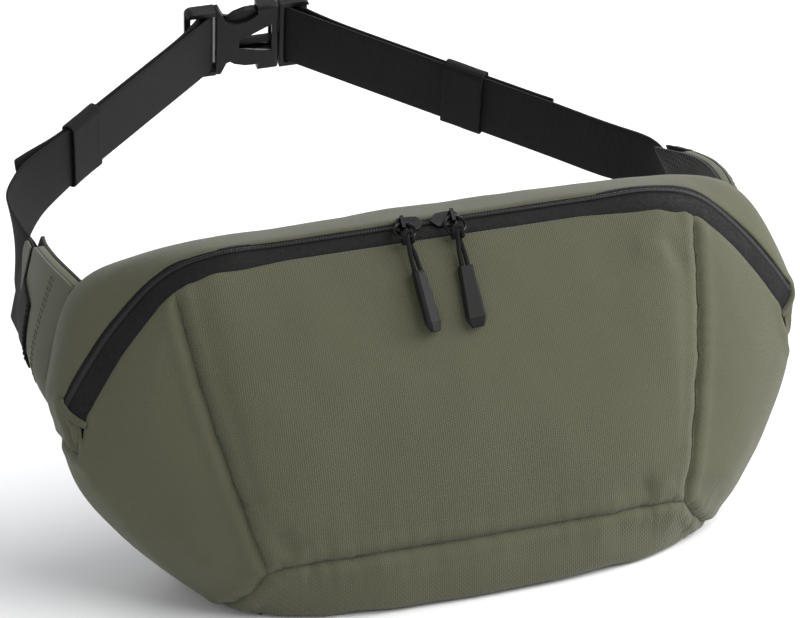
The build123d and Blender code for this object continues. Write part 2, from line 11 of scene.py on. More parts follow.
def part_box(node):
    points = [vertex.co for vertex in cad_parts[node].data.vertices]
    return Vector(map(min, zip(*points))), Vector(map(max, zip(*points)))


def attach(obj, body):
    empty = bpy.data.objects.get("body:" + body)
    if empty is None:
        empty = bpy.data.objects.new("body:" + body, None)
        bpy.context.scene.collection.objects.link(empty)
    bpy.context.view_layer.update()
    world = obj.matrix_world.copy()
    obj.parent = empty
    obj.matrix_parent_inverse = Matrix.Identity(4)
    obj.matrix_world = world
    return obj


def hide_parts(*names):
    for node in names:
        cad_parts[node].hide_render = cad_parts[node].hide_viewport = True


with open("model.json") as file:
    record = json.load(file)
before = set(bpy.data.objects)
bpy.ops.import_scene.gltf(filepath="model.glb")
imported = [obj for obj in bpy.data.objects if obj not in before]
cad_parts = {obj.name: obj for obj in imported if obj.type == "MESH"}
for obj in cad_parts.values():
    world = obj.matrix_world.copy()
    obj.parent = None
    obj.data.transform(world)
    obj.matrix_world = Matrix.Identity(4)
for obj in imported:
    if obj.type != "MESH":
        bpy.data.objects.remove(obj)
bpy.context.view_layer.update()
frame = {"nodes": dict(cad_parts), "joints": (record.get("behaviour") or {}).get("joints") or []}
NODES = frame["nodes"]
MM = 0.001
SIDES = {"left": -1, "right": 1}


# ---------------------------------------------------------------- camera
def make_camera():
    """The main view: a little from the left, 20 degrees down, rolled slightly."""
    azimuth, elevation, roll = math.radians(14.1), math.radians(20.0), math.radians(3.9)
    target, distance = Vector((-27.8, -30.0, 147.4)) * MM, 1.6
    view = Vector((math.sin(azimuth) * math.cos(elevation), math.cos(azimuth) * math.cos(elevation),
                   -math.sin(elevation)))
    flat_right = Vector((math.cos(azimuth), -math.sin(azimuth), 0))
    flat_up = flat_right.cross(view)
    right = flat_right * math.cos(roll) - flat_up * math.sin(roll)
    up = flat_right * math.sin(roll) + flat_up * math.cos(roll)
    camera = bpy.data.objects.new("camera", bpy.data.cameras.new("camera"))
    camera.data.sensor_width = 36.0
    camera.data.lens = 147.6
    camera.matrix_world = Matrix.Translation(target - view * distance) @ Matrix(
        (right, up, -view)).transposed().to_4x4()
    bpy.context.collection.objects.link(camera)
    bpy.context.scene.camera = camera


make_camera()


# ---------------------------------------------------------------- node helpers
class Shader:
    """A principled material with a short way to add and join nodes."""

    def __init__(self, name, **inputs):
        self.material = bpy.data.materials.new(name)
        self.material.use_nodes = True
        self.nodes = self.material.node_tree.nodes
        self.links = self.material.node_tree.links
        self.surface = self.nodes["Principled BSDF"]
        for key, value in inputs.items():
            self.surface.inputs[key.replace("_", " ")].default_value = value

    def add(self, kind, settings=None, **inputs):
        node = self.nodes.new(kind)
        for key, value in (settings or {}).items():
            setattr(node, key, value)
        for key, value in inputs.items():
            self.put(node.inputs[int(key[1:])] if key[0] == "n" and key[1:].isdigit()
                     else node.inputs[key.replace("_", " ")], value)
        return node

    def put(self, socket, value):
        if isinstance(value, bpy.types.NodeSocket):
            self.links.new(value, socket)
        else:
            socket.default_value = value

    def math(self, operation, first, second=0.0):
        return self.add("ShaderNodeMath", {"operation": operation}, n0=first, n1=second).outputs[0]

    def noise(self, vector, scale, detail=2.0):
        return self.add("ShaderNodeTexNoise", Vector=vector, Scale=scale, Detail=detail).outputs["Fac"]

    def ramp(self, value, low, high, colour_low, colour_high):
        node = self.add("ShaderNodeMapRange", n0=value, n1=low, n2=high)
        mix = self.add("ShaderNodeMix", {"data_type": "RGBA"}, n0=node.outputs[0])
        mix.inputs[6].default_value = (*colour_low, 1)
        mix.inputs[7].default_value = (*colour_high, 1)
        return mix.outputs[2]

    def object_point(self):
        return self.add("ShaderNodeTexCoord").outputs["Object"]

    def uv_parts(self):
        node = self.add("ShaderNodeSeparateXYZ", Vector=self.add("ShaderNodeTexCoord").outputs["UV"])
        return node.outputs[0], node.outputs[1]

    def bump(self, height, distance, strength=1.0):
        node = self.add("ShaderNodeBump", Height=height, Distance=distance, Strength=strength)
        self.links.new(node.outputs[0], self.surface.inputs["Normal"])


def half_wave(shader, coordinate, period, phase=0.0):
    """A smooth wave from 0 to 1 along a coordinate in metres."""
    turned = shader.math("MULTIPLY_ADD", coordinate, 2 * math.pi / period)
    turned.node.inputs[2].default_value = phase
    node = shader.math("MULTIPLY_ADD", shader.math("SINE", turned), 0.5)
    node.node.inputs[2].default_value = 0.5
    return node


def woven(name, colour, period, depth, contrast, sheen=0.12, roughness=0.8):
    """Plain or dobby weave laid over a piece's UV map, which is in metres."""
    shader = Shader(name, Roughness=roughness, Sheen_Weight=sheen, Sheen_Roughness=0.5,
                    Specular_IOR_Level=0.25)
    u, v = shader.uv_parts()
    point = shader.object_point()
    flat = shader.math("MULTIPLY", u, 0.62)
    warp = half_wave(shader, shader.math("ADD", flat, v), period)
    weft = half_wave(shader, shader.math("SUBTRACT", flat, v), period)
    column = half_wave(shader, u, period * 0.806, -math.pi / 2)
    cell = shader.math("MULTIPLY_ADD", column, 0.45)
    shader.links.new(shader.math("MULTIPLY", warp, weft), cell.node.inputs[2])
    fibre = shader.noise(point, 1400.0, 3.0)
    blotch = shader.noise(point, 14.0, 3.0)
    height = shader.math("MULTIPLY_ADD", fibre, 0.5)
    shader.links.new(cell, height.node.inputs[2])
    tone = shader.math("MULTIPLY_ADD", blotch, 0.35)
    shader.links.new(height, tone.node.inputs[2])
    dark = [c * (1 - contrast) for c in colour]
    light = [c * (1 + contrast) for c in colour]
    shader.put(shader.surface.inputs["Base Color"], shader.ramp(tone, 0.1, 1.3, dark, light))
    shader.bump(height, depth)
    return shader.material


def ribbed(name, colour, period, depth, roughness=0.8, sheen=0.03, twill=0.0):
    """Webbing or grosgrain: fine ribs across the piece, with the threads' own grain."""
    shader = Shader(name, Roughness=roughness, Sheen_Weight=sheen, Sheen_Roughness=0.4,
                    Specular_IOR_Level=0.2)
    u, v = shader.uv_parts()
    slanted = shader.math("ADD", u, shader.math("MULTIPLY", v, twill)) if twill else u
    rib = half_wave(shader, slanted, period)
    yarn = half_wave(shader, v, period * 0.8)
    point = shader.object_point()
    grain = shader.noise(point, 1600.0, 2.0)
    wear = shader.noise(point, 40.0, 3.0)
    height = shader.math("ADD", rib, shader.math("MULTIPLY", yarn, 0.35))
    height = shader.math("ADD", height, shader.math("MULTIPLY", grain, 0.5))
    tone = shader.math("ADD", height, shader.math("MULTIPLY", wear, 0.8))
    dark = [c * 0.55 for c in colour]
    light = [c * 1.7 for c in colour]
    shader.put(shader.surface.inputs["Base Color"], shader.ramp(tone, 0.2, 2.3, dark, light))
    shader.bump(height, depth)
    return shader.material


def air_mesh(name, colour, cell=0.0038):
    """Spacer mesh: raised threads over open holes; the low parts are painted near black, a painted shade in
    the holes.
    """
    shader = Shader(name, Roughness=0.85, Sheen_Weight=0.1, Specular_IOR_Level=0.2)
    holes = shader.add("ShaderNodeTexVoronoi", {"feature": "F1"}, Vector=shader.object_point(),
                       Scale=1.0 / cell, Randomness=0.15).outputs["Distance"]
    fine = shader.noise(shader.object_point(), 1500.0)
    height = shader.math("ADD", shader.math("MINIMUM", holes, 0.5), shader.math("MULTIPLY", fine, 0.15))
    # Painted shade: the low parts between the raised threads are near black, the raised parts lighter.
    shader.put(shader.surface.inputs["Base Color"],
               shader.ramp(holes, 0.18, 0.45, [c * 3.2 for c in colour], [c * 0.1 for c in colour]))
    shader.bump(shader.math("SUBTRACT", 1.0, height), 0.0014)
    return shader.material


def moulded(name, colour, roughness, grain, depth, metallic=0.0, specular=0.5):
    """Moulded plastic, rubber or painted metal with a fine grain and slight tone changes."""
    shader = Shader(name, Metallic=metallic, Specular_IOR_Level=specular)
    point = shader.object_point()
    fine = shader.noise(point, grain, 3.0)
    broad = shader.noise(point, 90.0, 2.0)
    shader.put(shader.surface.inputs["Base Color"],
               shader.ramp(broad, 0.3, 0.7, [c * 0.75 for c in colour], [c * 1.35 for c in colour]))
    spread = shader.add("ShaderNodeMapRange", n0=fine, n1=0.3, n2=0.7, n3=roughness * 0.8, n4=roughness * 1.2)
    shader.put(shader.surface.inputs["Roughness"], spread.outputs[0])
    shader.bump(fine, depth)
    return shader.material


OLIVE = (0.071, 0.072, 0.043)
BLACK = (0.0055, 0.0055, 0.0058)
FRONT_CLOTH = woven("front_cloth", OLIVE, 0.00135, 0.00016, 0.22)
SIDE_CLOTH = woven("side_cloth", [c * 1.02 for c in OLIVE], 0.0011, 0.00009, 0.12)
WEBBING = ribbed("webbing", BLACK, 0.0011, 0.00022)
BINDING = ribbed("binding", BLACK, 0.0016, 0.0003)
# The zip's tape and teeth are painted darker than the black webbing: painted shade for the recess the zip
# band sits in.
ZIP_TAPE_WITH_SHADE = moulded("zip_tape", (0.0036, 0.0036, 0.0042), 0.68, 900.0, 0.00007, specular=0.2)
ZIP_COIL_WITH_SHADE = moulded("zip_coil", (0.0042, 0.0042, 0.005), 0.5, 900.0, 0.00003, specular=0.3)
MESH = air_mesh("air_mesh", (0.0042, 0.0042, 0.0042))
CORD = ribbed("cord_braid", (0.0055, 0.0055, 0.0055), 0.0009, 0.0002, twill=1.0)
GRIP = moulded("grip_rubber", (0.0032, 0.0032, 0.0034), 0.5, 1500.0, 0.00003, specular=0.24)
METAL = moulded("dark_metal", (0.014, 0.014, 0.015), 0.24, 500.0, 0.000004, metallic=0.7)
PLASTIC = moulded("buckle_plastic", (0.0058, 0.0058, 0.0062), 0.42, 1100.0, 0.00003, specular=0.28)
THREAD = ribbed("thread", [c * 0.75 for c in OLIVE], 0.0006, 0.0001)
BLACK_THREAD = ribbed("black_thread", (0.014, 0.014, 0.015), 0.0006, 0.0001)


# ---------------------------------------------------------------- mesh helpers
def new_object(name, mesh, material):
    piece = bpy.data.objects.new(name, mesh)
    bpy.context.collection.objects.link(piece)
    piece.data.materials.clear()
    piece.data.materials.append(material)
    return piece


def bake(piece):
    """Turns a piece's modifiers into its own mesh."""
    evaluated = piece.evaluated_get(bpy.context.evaluated_depsgraph_get())
    mesh = bpy.data.meshes.new_from_object(evaluated)
    piece.modifiers.clear()
    piece.data = mesh
    return piece


def subdivide(piece, levels):
    piece.modifiers.new("smooth", "SUBSURF").levels = levels
    return bake(piece)


def smooth_shade(piece):
    for polygon in piece.data.polygons:
        polygon.use_smooth = True


def weave_map(piece, across, along):
    """UV map in metres from two directions."""
    layer = piece.data.uv_layers.new(name="weave")
    vertices = piece.data.vertices
    for loop in piece.data.loops:
        point = vertices[loop.vertex_index].co
        layer.data[loop.index].uv = (point.dot(across), point.dot(along))


def settle(piece, node_names, body):
    """Every new piece replaces its CAD nodes and rides on their body."""
    smooth_shade(piece)
    if node_names:
        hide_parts(*node_names)
    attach(piece, body)
    return piece


# ---------------------------------------------------------------- body skin
PANELS = ["front_panel", "left_side_panel", "right_side_panel", "bottom_panel", "rear_gusset",
          "left_zip_end_tab", "right_zip_end_tab"]
PANEL_CLOTH = [FRONT_CLOTH, SIDE_CLOTH, SIDE_CLOTH, FRONT_CLOTH, SIDE_CLOTH, SIDE_CLOTH, SIDE_CLOTH]
WEAVE_RUN = [(1, 0, 0), (0.82, -0.57, 0), (0.82, 0.57, 0), (1, 0, 0), (1, 0, 0), (0.6, 0, 0.8), (0.6, 0, 0.8)]
WEAVE_UP = [(0, 0, 1), (0, 0, 1), (0, 0, 1), (0, 0.75, 0.66), (0, 1, 0), (0, 1, 0), (0, 1, 0)]


OUTWARD_LIMIT = 0.15
ON_EDGE = 6e-5
SEAM_CREASE = 0.45
CLOTH_THICK = 0.0016
CROWN, CROWN_REACH = 0.0022, 0.016
SEAM_DEPTH, SEAM_WIDTH, SEAM_FADE = 0.0017, 0.0019, 0.007
PUCKER_HEIGHT, PUCKER_REACH = 0.0011, 0.011


def core_of(point):
    """A point inside the bag, level with the given one: outward is away from it."""
    return Vector((max(-0.118, min(0.118, point.x * 0.8)), 0.004, max(0.04, min(0.16, point.z))))


def outer_faces():
    """The outward faces of every body panel, as one mesh; a face's material number is its panel."""
    skin = bmesh.new()
    for number, name in enumerate(PANELS):
        mesh = NODES[name].data
        copies = {}
        for polygon in mesh.polygons:
            outward = (polygon.center - core_of(polygon.center)).normalized()
            if polygon.normal.dot(outward) < OUTWARD_LIMIT:
                continue
            corners = []
            for index in polygon.vertices:
                if index not in copies:
                    copies[index] = skin.verts.new(mesh.vertices[index].co)
                corners.append(copies[index])
            skin.faces.new(corners).material_index = number
    bmesh.ops.remove_doubles(skin, verts=skin.verts, dist=3e-5)
    bmesh.ops.join_triangles(skin, faces=skin.faces, cmp_materials=True,
                             angle_face_threshold=math.pi, angle_shape_threshold=math.pi)
    return skin


def weld_borders(skin):
    """Where one panel has more points along a shared edge, the other panel gets them too."""
    changed = True
    while changed:
        changed = False
        points = [v for v in skin.verts if v.is_boundary]
        for edge in [e for e in skin.edges if e.is_boundary]:
            start, end = edge.verts[0].co, edge.verts[1].co
            for vertex in points:
                if vertex in edge.verts:
                    continue
                near, share = intersect_point_line(vertex.co, start, end)
                if 0.02 < share < 0.98 and (near - vertex.co).length < ON_EDGE:
                    bmesh.utils.edge_split(edge, edge.verts[0], share)
                    changed = True
                    break
            if changed:
                break
        bmesh.ops.remove_doubles(skin, verts=skin.verts, dist=8e-5)


def ridge(point, start, end, width, height):
    """Height of a soft fold that runs from start to end."""
    near, share = intersect_point_line(point, start, end)
    fade = max(0.0, min(1.0, share * 4)) * max(0.0, min(1.0, (1 - share) * 4))
    return height * fade * math.exp(-((point - near).length / width) ** 2)


def shape_skin(mesh):
    """Crowned panels, pulled-in seams with puckers beside them, and a few broad folds."""
    work = bmesh.new()
    work.from_mesh(mesh)
    work.normal_update()
    seams = [v for v in work.verts if len({f.material_index for f in v.link_faces}) > 1]
    rims = [v for v in work.verts if v.is_boundary]
    trees = []
    for group in (seams, rims):
        tree = KDTree(len(group))
        for index, vertex in enumerate(group):
            tree.insert(vertex.co, index)
        tree.balance()
        trees.append(tree)
    moves = []
    for vertex in work.verts:
        spot, _, seam_gap = trees[0].find(vertex.co)
        _, _, rim_gap = trees[1].find(vertex.co)
        gap = min(seam_gap, rim_gap)
        lift = CROWN * (1 - math.exp(-gap / CROWN_REACH))
        lift -= SEAM_DEPTH * math.exp(-(seam_gap / SEAM_WIDTH) ** 2) * min(1.0, rim_gap / SEAM_FADE)
        lift += 0.0008 * math.exp(-((seam_gap - 0.0055) / 0.0035) ** 2)
        pucker = noise.noise(spot * 85.0) + 0.6 * noise.noise(spot * 190.0)
        lift += PUCKER_HEIGHT * pucker * math.exp(-seam_gap / PUCKER_REACH)
        lift += 0.0012 * noise.noise(vertex.co * 16.0 + Vector((3.1, 0.4, 7.7)))
        lift += 0.0005 * noise.noise(vertex.co * 45.0)
        lift -= 0.0008 * math.exp(-(rim_gap / 0.0016) ** 2)
        for fold in FOLDS:
            lift += ridge(vertex.co, *fold)
        moves.append(vertex.normal * lift)
    for vertex, move in zip(work.verts, moves):
        vertex.co += move
        vertex.co.z = max(vertex.co.z, 0.0002)
    work.normal_update()
    work.to_mesh(mesh)
    work.free()


def fold(start, end, width, height):
    """A fold given in mm; a negative height is a hollow."""
    return (Vector(start) * MM, Vector(end) * MM, width * MM, height * MM)


FOLDS = [
    fold((-96, -45, 44), (-112, -22, 128), 5, 1.6),
    fold((-104, -48, 52), (-92, -52, 36), 6, -1.8),
    fold((88, -54, 37), (116, -38, 60), 6, 1.8),
    fold((92, -55, 45), (70, -62, 40), 7, -1.5),
    fold((116, -16, 150), (96, -22, 158), 7, 1.2),
    fold((112, -14, 162), (126, -22, 138), 5, -1.2),
    fold((-150, -20, 60), (-128, -40, 24), 9, 1.6),
    fold((-168, -4, 78), (-140, -30, 52), 10, -1.4),
    fold((150, -16, 52), (128, -34, 26), 9, 1.5),
    fold((-70, -58, 18), (20, -62, 20), 10, 1.4),
    fold((60, -60, 22), (100, -50, 18), 8, -1.2),
    fold((-40, 30, 180), (60, 30, 182), 12, 1.4),
]


def build_body():
    """The whole skin shaped as one surface, then cut into one cloth piece per panel."""
    skin = outer_faces()
    weld_borders(skin)
    crease = skin.edges.layers.float.new("crease_edge")
    for edge in skin.edges:
        numbers = {f.material_index for f in edge.link_faces}
        if len(numbers) > 1:
            edge[crease] = SEAM_CREASE
    bmesh.ops.recalc_face_normals(skin, faces=skin.faces)
    mesh = bpy.data.meshes.new("body_skin")
    skin.to_mesh(mesh)
    skin.free()
    whole = bpy.data.objects.new("body_skin", mesh)
    bpy.context.collection.objects.link(whole)
    subdivide(whole, 4)
    shape_skin(whole.data)
    for number, name in enumerate(PANELS):
        part = bmesh.new()
        part.from_mesh(whole.data)
        extra = [f for f in part.faces if f.material_index != number]
        bmesh.ops.delete(part, geom=extra, context="FACES")
        for face in part.faces:
            face.material_index = 0
        mesh = bpy.data.meshes.new(name + "_cloth")
        part.to_mesh(mesh)
        part.free()
        piece = new_object(name + "_cloth", mesh, PANEL_CLOTH[number])
        weave_map(piece, Vector(WEAVE_RUN[number]), Vector(WEAVE_UP[number]))
        thick = piece.modifiers.new("thickness", "SOLIDIFY")
        thick.thickness = CLOTH_THICK
        thick.offset = -1
        bake(piece)
        settle(piece, [name], "bag")
    bpy.data.objects.remove(whole)


build_body()


# ---------------------------------------------------------------- zip
ZIP_FRONT = [(112, -8.5, 173.5), (134, -6.5, 165), (156, -2, 143.5), (173, 1, 120.5), (186, 3, 100.5)]
ZIP_REAR = [(112, 0, 181.5), (140, 2.5, 173.5), (164, 7, 151), (182, 9.5, 128), (193.5, 11, 110)]
BAND_NORMAL = Vector((0, -8.0, 8.5)).normalized()
BAND_ACROSS = Vector((0, 8.5, 8.0)).normalized()


def spline(keys, steps):
    """Points along a smooth curve through the keys."""
    points = [Vector(keys[0])]
    for index in range(len(keys) - 1):
        a, b = Vector(keys[max(index - 1, 0)]), Vector(keys[index])
        c, d = Vector(keys[index + 1]), Vector(keys[min(index + 2, len(keys) - 1)])
        for step in range(1, steps + 1):
            t = step / steps
            points.append(0.5 * (2 * b + (c - a) * t + (2 * a - 5 * b + 4 * c - d) * t ** 2
                                 + (3 * b - a - 3 * c + d) * t ** 3))
    return points


def zip_rails(step=0.42):
    """Evenly spaced pairs of points on the band's front and rear edges, left to right, in metres."""
    pairs = []
    lead = [[(x, *keys[0][1:]) for x in (0, 75)] + keys for keys in (ZIP_FRONT, ZIP_REAR)]
    half = [(a * MM, b * MM) for a, b in zip(spline(lead[0], 24), spline(lead[1], 24))]
    line = [(Vector((-a.x, a.y, a.z)), Vector((-b.x, b.y, b.z))) for a, b in reversed(half[1:])] + half
    travel = [0.0]
    for (a, b), (c, d) in zip(line, line[1:]):
        travel.append(travel[-1] + ((c + d) - (a + b)).length / 2)
    count = int(travel[-1] / (step * MM))
    at = 0
    for index in range(count + 1):
        want = travel[-1] * index / count
        while at < len(travel) - 2 and travel[at + 1] < want:
            at += 1
        share = (want - travel[at]) / (travel[at + 1] - travel[at])
        front, rear = (line[at][edge].lerp(line[at + 1][edge], share) for edge in (0, 1))
        pairs.append((front, rear, want))
    return pairs


ZIP_PAIRS = zip_rails()
TOOTH = 1.5 * MM


def zip_strip(name, profile, material, node_names, every=1, teeth=0.0):
    """A strip along the zip; profile gives (share across, height in mm, how far teeth lift it)."""
    strip = bmesh.new()
    rows = []
    for front, rear, travel in ZIP_PAIRS[::every]:
        up = (front.lerp(rear, 0.5) - core_of(front)).normalized()
        beat = teeth * abs(math.sin(math.pi * travel / TOOTH))
        rows.append([strip.verts.new(front.lerp(rear, share) + up * (height + lift * beat) * MM)
                     for share, height, lift in profile])
    for row, after in zip(rows, rows[1:]):
        for index in range(len(profile) - 1):
            strip.faces.new((row[index], after[index], after[index + 1], row[index + 1]))
    mesh = bpy.data.meshes.new(name)
    strip.to_mesh(mesh)
    strip.free()
    piece = new_object(name, mesh, material)
    weave_map(piece, Vector((1, 0, 0)), Vector((0, 0.7, 0.7)))
    return settle(piece, node_names, "bag")


FRONT_TAPE = [(-0.16, -3.2, 0), (-0.02, -1.5, 0), (0.06, -0.7, 0), (0.18, 0.0, 0), (0.34, 0.35, 0),
              (0.5, 0.55, 0), (0.6, 0.5, 0), (0.645, 0.1, 0), (0.655, -0.9, 0)]
REAR_TAPE = [(0.86, -0.9, 0), (0.9, -0.7, 0), (0.96, -0.9, 0), (1.04, -1.6, 0), (1.15, -3.0, 0)]
COIL_ROW = [(0.66, -0.9, 0), (0.67, 0.0, 0.4), (0.7, 0.4, 1), (0.75, 0.55, 1), (0.8, 0.4, 1),
            (0.845, -0.1, 0.7), (0.87, -0.9, 0)]
zip_strip("zip_front_cloth", FRONT_TAPE, ZIP_TAPE_WITH_SHADE, ["zip_tape_front", "zip_coil_front"], every=3)
zip_strip("zip_rear_cloth", REAR_TAPE, ZIP_TAPE_WITH_SHADE, ["zip_tape_rear"], every=3)
zip_strip("zip_teeth", COIL_ROW, ZIP_COIL_WITH_SHADE, ["zip_coil_rear"], teeth=0.45)


def end_piping(side):
    """The rolled edge of the tab that closes the zip's end."""
    front, rear, _ = ZIP_PAIRS[2 if side == "left" else -3]
    up = (front.lerp(rear, 0.5) - core_of(front)).normalized()
    curve = bpy.data.curves.new(side + "_zip_piping", "CURVE")
    curve.dimensions = "3D"
    curve.bevel_depth = 1.8 * MM
    curve.bevel_resolution = 4
    curve.use_fill_caps = True
    roll = curve.splines.new("NURBS")
    shares = (-0.12, 0.05, 0.35, 0.65, 0.95, 1.12)
    roll.points.add(len(shares) - 1)
    for point, share in zip(roll.points, shares):
        point.co = (*(front.lerp(rear, share) + up * (1.0 - 9 * (share - 0.5) ** 2) * MM), 1)
    roll.order_u = 4
    roll.use_endpoint_u = True
    line = new_object(side + "_zip_roll", curve, SIDE_CLOTH)
    mesh = bpy.data.meshes.new_from_object(line.evaluated_get(bpy.context.evaluated_depsgraph_get()))
    bpy.data.objects.remove(line)
    piece = new_object(side + "_zip_piping", mesh, SIDE_CLOTH)
    if not piece.data.uv_layers:
        weave_map(piece, Vector((1, 0, 0)), Vector((0, 0.7, 0.7)))
    settle(piece, [], "bag")


for side_name in SIDES:
    end_piping(side_name)


# ---------------------------------------------------------------- pulls: cords first, then the hardware
COIL_SHARE = 0.74
BAND_ORIGIN = Vector((0, -8.5 + 8.5 * COIL_SHARE, 173.5 + 8.0 * COIL_SHARE))
SLIDER_X = {"left": -13.4, "right": 4.2}
RING_LIFT = {"left": 16.0, "right": 8.0}
GRIP_FOOT = {"left": (-12.6, -38.0, 136.0), "right": (9.0, -37.5, 135.5)}
PULL_HALF = [(-1.5, -0.1, -16.9), (-1.6, -0.6, -11.5), (-1.3, -1.6, -6.0), (-0.8, -2.6, -0.6),
             (-0.3, -1.5, 2.5)]
PULL_ROUTE = PULL_HALF + [(-x, -y, z) for x, y, z in reversed(PULL_HALF)]
AXIS_HEIGHT, ARCH_OFFSET, RING_DIAMETER = 3.5, 4.0, 10.4


def pull_matrix(side):
    """Row-frame matrix of a pull: origin on the ring's far wire, -Z down along the pull."""
    arch = Vector((SLIDER_X[side] + SIDES[side] * ARCH_OFFSET, 0, 0))
    foot = arch + BAND_ORIGIN + BAND_NORMAL * AXIS_HEIGHT
    lift = math.radians(RING_LIFT[side])
    anchor = foot + (BAND_NORMAL * math.sin(lift) - BAND_ACROSS * math.cos(lift)) * RING_DIAMETER
    back = (anchor - Vector(GRIP_FOOT[side])).normalized()
    across = (Vector((1, 0, 0)) - back * back.x).normalized()
    return Matrix.Translation(anchor * MM) @ Matrix((across, back.cross(across), back)).transposed().to_4x4()


def cord_wraps(side, matrix):
    """The cord's turns at the ring: a hoop round the wire on each side, and one across their front."""
    curve = bpy.data.curves.new(side + "_cord_wraps", "CURVE")
    curve.dimensions = "3D"
    curve.bevel_depth = 1.0 * MM
    curve.bevel_resolution = 4
    hoops = [((-2.3, 0, 0), (-0.23, 2.15, 0), (0, 0, 2.3)), ((2.3, 0, 0), (0.19, 2.15, 0), (0, 0, 2.3)),
             ((0, -2.2, 1.9), (2.7, 0, 0), (0, -0.5, 1.3))]
    for centre, reach, rise in hoops:
        hoop = curve.splines.new("NURBS")
        hoop.points.add(7)
        for index, point in enumerate(hoop.points):
            turn = math.pi / 4 * index
            spot = Vector(centre) + Vector(reach) * math.cos(turn) + Vector(rise) * math.sin(turn)
            point.co = (*(matrix @ (spot * MM)), 1)
        hoop.use_cyclic_u = True
        hoop.order_u = 4
    piece = new_object(side + "_cord_wraps", curve, CORD)
    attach(piece, side + "_pull")
    return piece


def pull_cord(side):
    """The loop of cord from the grip, round the ring and back."""
    matrix = pull_matrix(side)
    curve = bpy.data.curves.new(side + "_cord", "CURVE")
    curve.dimensions = "3D"
    curve.bevel_depth = 1.15 * MM
    curve.bevel_resolution = 4
    curve.use_fill_caps = True
    spline_line = curve.splines.new("NURBS")
    spline_line.points.add(len(PULL_ROUTE) - 1)
    for point, spot in zip(spline_line.points, PULL_ROUTE):
        point.co = (*(matrix @ (Vector(spot) * MM)), 1)
    spline_line.order_u = 3
    spline_line.use_endpoint_u = True
    spline_line.resolution_u = 10
    piece = new_object(side + "_cord", curve, CORD)
    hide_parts(side + "_pull_cord")
    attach(piece, side + "_pull")
    wraps = cord_wraps(side, matrix)


for side_name in SIDES:
    pull_cord(side_name)


def harden(node, material, bevel, angle=30.0):
    """A CAD node that keeps its shape: its own material and a small edge radius."""
    piece = NODES[node]
    piece.data.materials.clear()
    piece.data.materials.append(material)
    weld = piece.modifiers.new("weld", "WELD")
    weld.merge_threshold = 2e-5
    edge = piece.modifiers.new("edge", "BEVEL")
    edge.width = bevel
    edge.segments = 2
    edge.limit_method = "ANGLE"
    edge.angle_limit = math.radians(angle)
    edge.harden_normals = True


for side_name in SIDES:
    harden(side_name + "_pull_grip", GRIP, 0.0004)
    harden(side_name + "_slider", METAL, 0.00018)
    harden(side_name + "_pull_ring", METAL, 0.00001)
for node_name in ("buckle_socket", "buckle_plug", "prong_upper", "prong_lower"):
    harden(node_name, PLASTIC, 0.00035)


# ---------------------------------------------------------------- webbing
BELT_TILT = math.radians(22.0)
BELT_UP = Vector((0, -math.sin(BELT_TILT), math.cos(BELT_TILT)))


def quad_copy(node, crease_value, angle=50.0):
    """A node's mesh as quads, with its sharp edges creased."""
    work = bmesh.new()
    work.from_mesh(NODES[node].data)
    bmesh.ops.remove_doubles(work, verts=work.verts, dist=3e-5)
    crease = work.edges.layers.float.new("crease_edge")
    bmesh.ops.join_triangles(work, faces=work.faces, angle_face_threshold=math.radians(40),
                             angle_shape_threshold=math.pi)
    for edge in work.edges:
        if len(edge.link_faces) == 2 and edge.calc_face_angle(0) > math.radians(angle):
            edge[crease] = crease_value
    return work


def path_lengths(work, starts):
    """Length along the edges from the starting points to every point."""
    reach = {v: math.inf for v in work.verts}
    queue = list(starts)
    for vertex in queue:
        reach[vertex] = 0.0
    while queue:
        queue.sort(key=lambda v: reach[v], reverse=True)
        vertex = queue.pop()
        for edge in vertex.link_edges:
            other = edge.other_vert(vertex)
            trial = reach[vertex] + edge.calc_length()
            if trial < reach[other] - 1e-9:
                reach[other] = trial
                queue.append(other)
    return reach


def strap(side):
    """One side's webbing with its returned tail; the weave follows its length."""
    work = quad_copy(side + "_strap", 0.85)
    start_x = max(abs(v.co.x) for v in work.verts)
    root = min(work.verts, key=lambda v: v.co.y)
    starts = [v for v in work.verts if (v.co - root.co).length < 0.041 and abs(v.co.y - root.co.y) < 0.016
              and abs(abs(v.co.x) - start_x) < 0.014 and len(v.link_edges) == 3]
    lengths = path_lengths(work, starts or [root])
    layer = work.loops.layers.uv.new("weave")
    for face in work.faces:
        for loop in face.loops:
            point = loop.vert.co
            loop[layer].uv = (lengths[loop.vert], point.dot(BELT_UP))
    mesh = bpy.data.meshes.new(side + "_webbing")
    work.to_mesh(mesh)
    work.free()
    piece = new_object(side + "_webbing", mesh, WEBBING)
    subdivide(piece, 3)
    settle(piece, [side + "_strap"], "bag")


